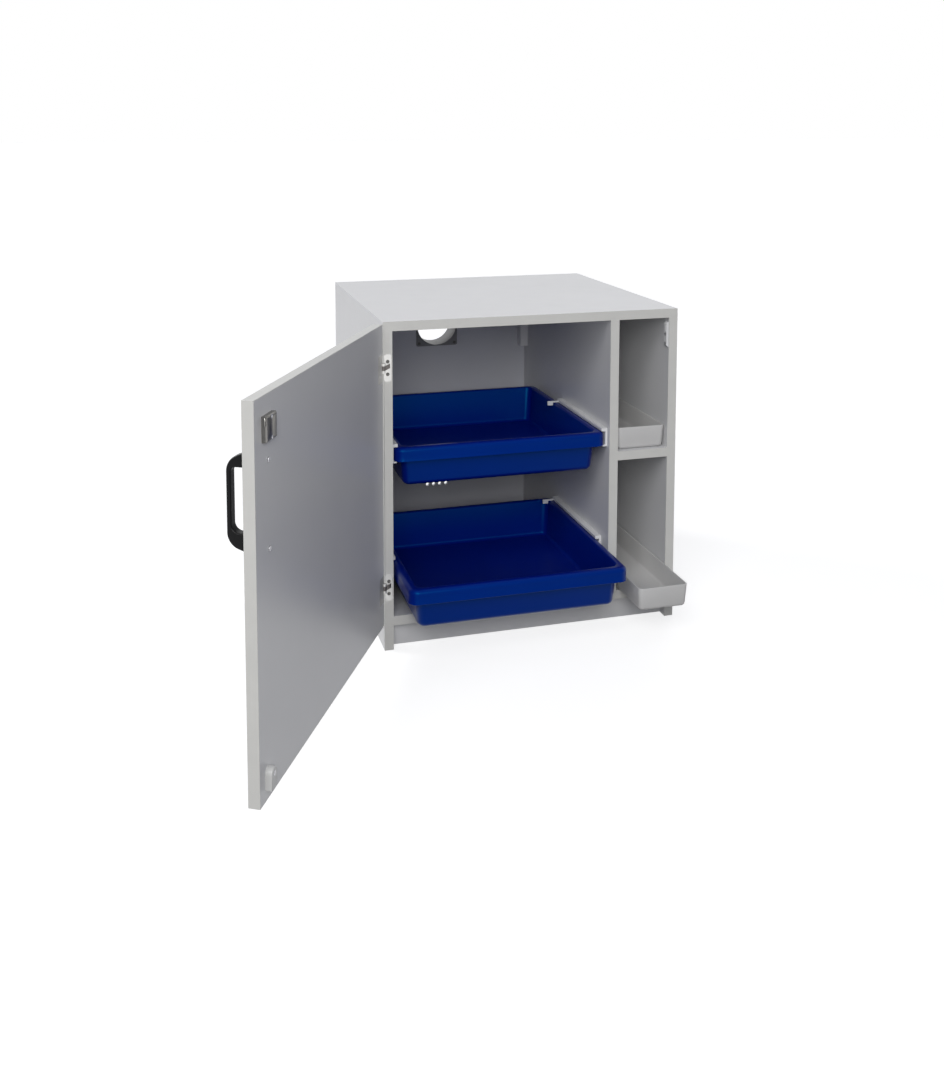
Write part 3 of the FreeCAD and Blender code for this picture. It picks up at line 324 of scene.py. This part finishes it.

# %% [markdown]
# ## Plastics
#
# The trays are deep blue and glossy, with the slow waves that a large moulding keeps as it
# cools. White light on a plain gloss would veil such a deep blue with grey, so the shine itself
# is tinted, and the lit rims turn a clearer blue instead. The bins and runners are pale and
# duller. The duct is pale plastic too, but its colour is painted dark grey as painted shade,
# for the shaded flange and the bore that gets no light from behind. The handle is black with a
# fine spark-eroded grain and little gloss.


# %% Plastic finishes
def moulded(name, colour, roughness, gloss, waves=0.0, grain=0.0, shine=(1, 1, 1)):
    """Moulded plastic with slow waves, a fine grain, or both, and a colour for its shine."""
    material = finish(name, colour, roughness, Specular_IOR_Level=gloss, Specular_Tint=(*shine, 1))
    mottle(material, noise(material, 9, 2), colour, 0.04)
    bent = None
    if waves:
        bent = bump(material, noise(material, 14, 1), waves, 1 * MM)
    if grain:
        bump(material, noise(material, 1500), grain, 0.1 * MM, bent)
    return material


tray_blue = moulded("Tray blue", (0.0004, 0.0085, 0.18), 0.28, 0.32, waves=0.03,
                    shine=(0.02, 0.55, 1))
bin_white = moulded("Bin plastic", (0.6, 0.595, 0.585), 0.34, 0.3, waves=0.03, grain=0.02)
runner_white = moulded("Runner plastic", (0.78, 0.78, 0.78), 0.34, 0.35, grain=0.03)
# The duct's dark grey is painted shade: its own plastic is pale, and the grey darkens the flange
# and the bore.
duct_painted_shade_grey = moulded("Duct plastic darkened as painted shade", (0.22, 0.22, 0.225), 0.4, 0.25, grain=0.03)
catch_white = moulded("Catch plastic", (0.6, 0.6, 0.585), 0.26, 0.4)
handle_black = moulded("Handle plastic", (0.004, 0.004, 0.0045), 0.26, 0.16, grain=0.08)
plastics = (tray_blue, bin_white, runner_white, duct_painted_shade_grey, catch_white, handle_black)
print("plastics", [plastic.name for plastic in plastics])

# %% [markdown]
# ## Metals and wood
#
# Screws and pins are bright zinc, except those of the hinge plates and of the duct, which are
# dark. Hinge plates and leaves are pale and dull, hinge arms are darker. The lock's case is
# nickel, brushed up and down, and its plug is plated brass. Brushing could be a scratched
# texture, but noise drawn out along one axis gives the same lines at any size. The dowels
# inside the joints are beech, with its grain drawn out along the peg.


# %% Metal and wood finishes
def metal(name, colour, roughness, stretch=(1, 1, 1), strength=0.05):
    """A metal skin with fine scratches, which run along the axis of least stretch."""
    material = finish(name, colour, roughness, Metallic=1)
    vary(material, noise(material, 700, 2, stretch), "Roughness", roughness * 0.85, roughness * 1.2)
    bump(material, noise(material, 1400, 2, stretch), strength, 0.05 * MM)
    return material


def beech():
    """Pale wood with a close grain."""
    material = finish("Beech", (0.52, 0.34, 0.18), 0.6)
    tint(material, noise(material, 300, 3, (0.1, 1, 1)), (0.5, 0.32, 0.17), (0.62, 0.43, 0.25))
    return material


screw_steel = metal("Zinc screws", (0.5, 0.5, 0.52), 0.32)
plate_steel = metal("Hinge plate", (0.58, 0.575, 0.56), 0.5)
dark_steel = metal("Dark screws", (0.12, 0.117, 0.112), 0.4)
arm_steel = metal("Hinge arm", (0.14, 0.13, 0.125), 0.38)
nickel = metal("Brushed nickel", (0.21, 0.205, 0.195), 0.34, (1, 1, 0.05), 0.09)
brass = metal("Plated brass", (0.55, 0.51, 0.41), 0.28)
dowel_wood = beech()
metals = (screw_steel, plate_steel, dark_steel, arm_steel, nickel, brass)
print("metals", [skin.name for skin in metals], "and", dowel_wood.name)

# %% [markdown]
# ## Every piece gets its finish
#
# The record names a material slot for each piece, so a table from slot to finish dresses the
# whole cabinet at once, and no piece can be forgotten. Only the dark screws differ from their
# slot.

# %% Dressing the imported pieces
finish_of = {
    "board": board, "back_board": back_face, "edge_band": edge_band, "dowel_wood": dowel_wood,
    "tray_plastic": tray_blue, "bin_plastic": bin_white, "runner_plastic": runner_white,
    "duct_plastic": duct_painted_shade_grey, "screw_steel": screw_steel, "hinge_plate": plate_steel,
    "hinge_arm": arm_steel, "lock_nickel": nickel, "lock_brass": brass,
    "handle_plastic": handle_black, "catch_plastic": catch_white,
}
own_finish = {"hinge_plate_screws": dark_steel, "duct_screws": dark_steel}
skin_of = {node: own_finish.get(node, finish_of[slot_of[node]]) for node in nodes}
for node, thing in nodes.items():
    thing.data.materials.clear()
    thing.data.materials.append(skin_of[node])
print(len(finish_of), "finishes on", len(nodes), "pieces")

# %% [markdown]
# ## Turning a mesh into a piece
#
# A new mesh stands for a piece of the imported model: it rides on the same body, takes the same
# finish and hides the plain solid. Faces are shaded smooth, and only creases sharper than
# a chosen angle stay sharp. Rounded things take a wide angle. Pressed and sawn ones take
# a narrow one, because smooth shading spreads the slope of a small corner over the whole of
# a broad flat face.

# %% A helper for finished pieces
SAWN = 1
PRESSED = 20
TURNED = 32
SHEET = 50
SAME_POINT = 0.001 * MM


def copy_of(node):
    """The solid of one piece as a build, with the corners of its loose triangles joined."""
    build = bmesh.new()
    build.from_mesh(nodes[node].data)
    bmesh.ops.remove_doubles(build, verts=build.verts, dist=SAME_POINT)
    return build


def place_piece(build, node, crease):
    """Makes a build the shown form of one piece of the cabinet."""
    mesh = bpy.data.meshes.new(node + "_shown")
    build.to_mesh(mesh)
    build.free()
    mesh.materials.append(skin_of[node])
    mesh.shade_smooth()
    mesh.set_sharp_from_angle(angle=math.radians(crease))
    piece = bpy.data.objects.new(node + "_shown", mesh)
    bpy.context.scene.collection.objects.link(piece)
    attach(piece, body_of[node])
    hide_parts(node)
    return piece


# %% [markdown]
# ## Soft edges on the boards
#
# A sawn and banded edge is never a knife edge: it is broken by a fraction of a millimetre, and
# that sliver catches a line of light. A bevel modifier could do it, but it would also soften
# the rims of small holes. The solids already have the right form, so a copy is merged, its flat
# triangles are joined, and only its long outward edges are bevelled.

# %% Breaking the edges of boards
SAME_PLANE = math.radians(1)
OUTWARD = math.radians(50)
BOARD_BREAK = 0.3 * MM
BOARD_SHORTEST = 30 * MM


def softened(node, radius, shortest, crease):
    """A copy of one solid with its long outward edges broken and its broad faces left flat."""
    build = copy_of(node)
    bmesh.ops.dissolve_limit(build, angle_limit=SAME_PLANE, verts=build.verts, edges=build.edges)
    sharp = [edge for edge in build.edges if edge.is_manifold and edge.calc_length() > shortest
             and edge.calc_face_angle_signed() > OUTWARD]
    bmesh.ops.bevel(build, geom=sharp, offset=radius, segments=2, profile=0.5, affect="EDGES",
                    material=-1)
    return place_piece(build, node, crease)


boards = ("top_panel", "left_side_panel", "right_side_panel", "bottom_panel", "divider_panel",
          "side_shelf", "kickboard", "rear_plinth_rail", "back_panel", "door_panel")
for node in boards:
    softened(node, BOARD_BREAK, BOARD_SHORTEST, SAWN)
print(len(boards), "boards softened")

# %% [markdown]
# ## Fittings with soft edges
#
# Runners, blocks, the keeper and the hinges are small mouldings and pressings with rounder
# edges than the boards. The same copy and bevel serves them, with a radius for each kind and
# shorter edges let in.

# %% Runners, hinges and blocks
FITTING_SHORTEST = 2.4 * MM
fittings = {
    "upper_runner_left": 0.6, "upper_runner_right": 0.6, "lower_runner_left": 0.6,
    "lower_runner_right": 0.6, "back_corner_blocks": 0.8, "strike_keeper": 0.5,
    "upper_hinge_plate": 0.2, "lower_hinge_plate": 0.2, "upper_hinge_leaf": 0.2,
    "lower_hinge_leaf": 0.2, "upper_hinge_arm": 0.4, "lower_hinge_arm": 0.4,
}
for node, radius in fittings.items():
    softened(node, radius * MM, FITTING_SHORTEST, PRESSED)
print(len(fittings), "fittings softened")

# %% [markdown]
# ## Round fittings and bands
#
# Screws, the duct, the handle, the lock and the catch have their rounds in their solids, so
# a merged copy with smooth shading is enough. The glued bands come along unbevelled: they are
# only a millimetre thick, and a bevel round their corners would stand out past the boards. The
# lock's case is a pressing with bevelled sides, which stay crisp.

# %% Screws, duct, handle, lock, catch and bands
rounds = ("duct_spigot", "duct_screws", "runner_screws", "strike_screws", "hinge_plate_screws",
          "hinge_leaf_screws", "lock_screws", "catch_screw", "handle_screws", "door_handle",
          "lock_case", "lock_bolt", "lock_escutcheon", "lock_cylinder", "lock_plug",
          "catch_housing", "catch_plunger", "carcass_edge_bands", "door_edge_bands")
for node in rounds:
    place_piece(copy_of(node), node, PRESSED if node == "lock_case" else TURNED)
print(len(rounds), "round fittings and bands placed")

# %% [markdown]
# ## Rounded outlines
#
# A moulded box is a stack of rectangles with round corners: one at the rim, one at the mouth
# and one at the floor. Each could be drawn as a curve and turned into a mesh, but a square face
# with its four corners bevelled has its points in the same order every time, so two neighbours
# can be bridged without a twist.


# %% Rounded outlines
def outline(build, wide, deep, corner, height, turns=8):
    """A flat face with round corners, centred, at one height."""
    made = bmesh.ops.create_grid(build, x_segments=1, y_segments=1, size=1)["verts"]
    reach = max(vert.co.x for vert in made)
    bmesh.ops.scale(build, vec=(wide / 2 / reach, deep / 2 / reach, 1), verts=made)
    bmesh.ops.translate(build, vec=(0, 0, height), verts=made)
    before = set(build.faces)
    face = made[0].link_faces[0]
    bmesh.ops.bevel(build, geom=made, offset=corner, segments=turns, profile=0.5,
                    affect="VERTICES", material=-1)
    added = [face] if face.is_valid else [new for new in build.faces if new not in before]
    return added[0]


def hoop(build, *measures):
    """The edges of a rounded outline, without its face."""
    face = outline(build, *measures)
    edges = list(face.edges)
    bmesh.ops.delete(build, geom=[face], context="FACES_ONLY")
    return edges


def round_over(build, edges, radius, turns):
    """Rounds a run of creases."""
    bmesh.ops.bevel(build, geom=edges, offset=radius, segments=turns, profile=0.5,
                    affect="EDGES", material=-1)


# %% [markdown]
# ## A wall for a sheet
#
# Drawing the inside and the outside of a moulding separately makes walls that swell at the
# corners. A sheet that gets its wall from a modifier stays equally thick all over, as a real
# moulding does, so that it cools evenly. A second modifier rounds the cut rim that is left.

# %% A wall for a sheet
LIP_TURNS = 2
LIP_ANGLE = math.radians(60)


def walled(piece, wall, lip):
    """Gives a sheet its wall on the side behind its faces and rounds the cut rim."""
    solid = piece.modifiers.new("Wall", "SOLIDIFY")
    solid.thickness = wall
    solid.offset = -1
    solid.use_even_offset = True
    solid.use_quality_normals = True
    edge = piece.modifiers.new("Lip", "BEVEL")
    edge.width = lip
    edge.segments = LIP_TURNS
    edge.limit_method = "ANGLE"
    edge.angle_limit = LIP_ANGLE
    print(piece.name, "has", len(piece.data.polygons), "faces in its sheet")


# %% [markdown]
# ## Trays
#
# A tray is one moulded sheet of plastic: floor, drafted walls, a rim that rolls over at its
# outer edge, and a skirt turned down round it, with a small bead near its foot. The sheet is
# its upper and outer skin. Rim, mouth and floor are bridged, the skirt is drawn down from the
# rim in three falls, and the creases are rounded last, because each round needs its own radius.

# %% The two trays
WALL = 3 * MM
TRAY_RIM = 14 * MM
TRAY_SKIRT = 27 * MM
RIM_CORNER = 18 * MM
TUB_CORNER = 16 * MM
TUB_DRAFT = 6.5 * MM
FOOT_ROUND = 10 * MM
RIM_ROUND = 9 * MM
MOUTH_ROUND = 3 * MM
BEAD = 0.8 * MM
TRAY_LIP = 0.7 * MM
RIM_LEVEL = 0.01 * MM
CREASED = math.radians(45)


def fall(build, edges, depth, inset):
    """Carries an outline down by a depth and inwards by an inset, and gives its new edges."""
    made = bmesh.ops.extrude_edge_only(build, edges=edges)["geom"]
    verts = [item for item in made if isinstance(item, bmesh.types.BMVert)]
    reach_x = max(vert.co.x for vert in verts)
    reach_y = max(vert.co.y for vert in verts)
    bmesh.ops.translate(build, vec=(0, 0, -depth), verts=verts)
    bmesh.ops.scale(build, vec=(1 - inset / reach_x, 1 - inset / reach_y, 1), verts=verts)
    return [item for item in made if isinstance(item, bmesh.types.BMEdge)
            and all(vert in verts for vert in item.verts)]


def rim_creases(build, wide, deep):
    """The creases that lie in the plane of the rim: those of its outer edge and of the mouth."""
    level = [edge for edge in build.edges if all(abs(vert.co.z) < RIM_LEVEL for vert in edge.verts)
             and not edge.is_boundary and edge.calc_face_angle() > CREASED]
    outer = [edge for edge in level if any(abs(vert.co.x) > wide / 2 - TRAY_RIM / 2
                                           or abs(vert.co.y) > deep / 2 - TRAY_RIM / 2
                                           for vert in edge.verts)]
    return outer, [edge for edge in level if edge not in outer]


def tray(node):
    """One blue tray, from its rim down to its floor."""
    low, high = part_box(node)
    wide, deep, tall = high - low
    inset = TRAY_RIM + WALL
    build = bmesh.new()
    rim = hoop(build, wide, deep, RIM_CORNER, 0)
    mouth = hoop(build, wide - 2 * inset, deep - 2 * inset, TUB_CORNER - WALL, 0)
    foot = outline(build, wide - 2 * (inset + TUB_DRAFT), deep - 2 * (inset + TUB_DRAFT),
                   TUB_CORNER - WALL, WALL - tall)
    foot_edges = list(foot.edges)
    bmesh.ops.bridge_loops(build, edges=rim + mouth)
    bmesh.ops.bridge_loops(build, edges=mouth + foot_edges)
    skirt = fall(build, rim, TRAY_SKIRT - 4 * BEAD, BEAD)
    bead = fall(build, skirt, 2 * BEAD, -BEAD)
    fall(build, bead, 2 * BEAD, 0)
    bmesh.ops.recalc_face_normals(build, faces=build.faces)
    if foot.normal.z < 0:
        bmesh.ops.reverse_faces(build, faces=build.faces)
    round_over(build, foot_edges, FOOT_ROUND - WALL, 5)
    outer, mouth_edges = rim_creases(build, wide, deep)
    round_over(build, outer, RIM_ROUND, 6)
    round_over(build, mouth_edges, MOUTH_ROUND, 3)
    middle = (low + high) / 2
    bmesh.ops.translate(build, vec=(middle.x, middle.y, high.z), verts=build.verts)
    walled(place_piece(build, node, SHEET), WALL, TRAY_LIP)


for node in ("upper_tray", "lower_tray"):
    tray(node)

# %% [markdown]
# ## Bins
#
# The bins are plain drafted boxes from the same kind of sheet. Their outside is what shows
# most, so the sheet is the outer skin and the wall grows inwards. The rim is only a little
# rounded, which leaves the crisp bright line that thin mouldings have.

# %% The two bins
BIN_WALL = 3 * MM
BIN_CORNER = 9 * MM
BIN_DRAFT = 3 * MM
BIN_FOOT = 7 * MM
BIN_LIP = 0.8 * MM


def bin_box(node):
    """One pale bin, from its mouth down to its floor."""
    low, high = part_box(node)
    wide, deep, tall = high - low
    build = bmesh.new()
    mouth = hoop(build, wide, deep, BIN_CORNER, tall)
    foot = outline(build, wide - 2 * BIN_DRAFT, deep - 2 * BIN_DRAFT, BIN_CORNER, 0)
    foot_edges = list(foot.edges)
    bmesh.ops.bridge_loops(build, edges=mouth + foot_edges)
    bmesh.ops.recalc_face_normals(build, faces=build.faces)
    if foot.normal.z > 0:
        bmesh.ops.reverse_faces(build, faces=build.faces)
    round_over(build, foot_edges, BIN_FOOT, 5)
    middle = (low + high) / 2
    bmesh.ops.translate(build, vec=(middle.x, middle.y, low.z), verts=build.verts)
    walled(place_piece(build, node, SHEET), BIN_WALL, BIN_LIP)


for node in ("upper_bin", "lower_bin"):
    bin_box(node)
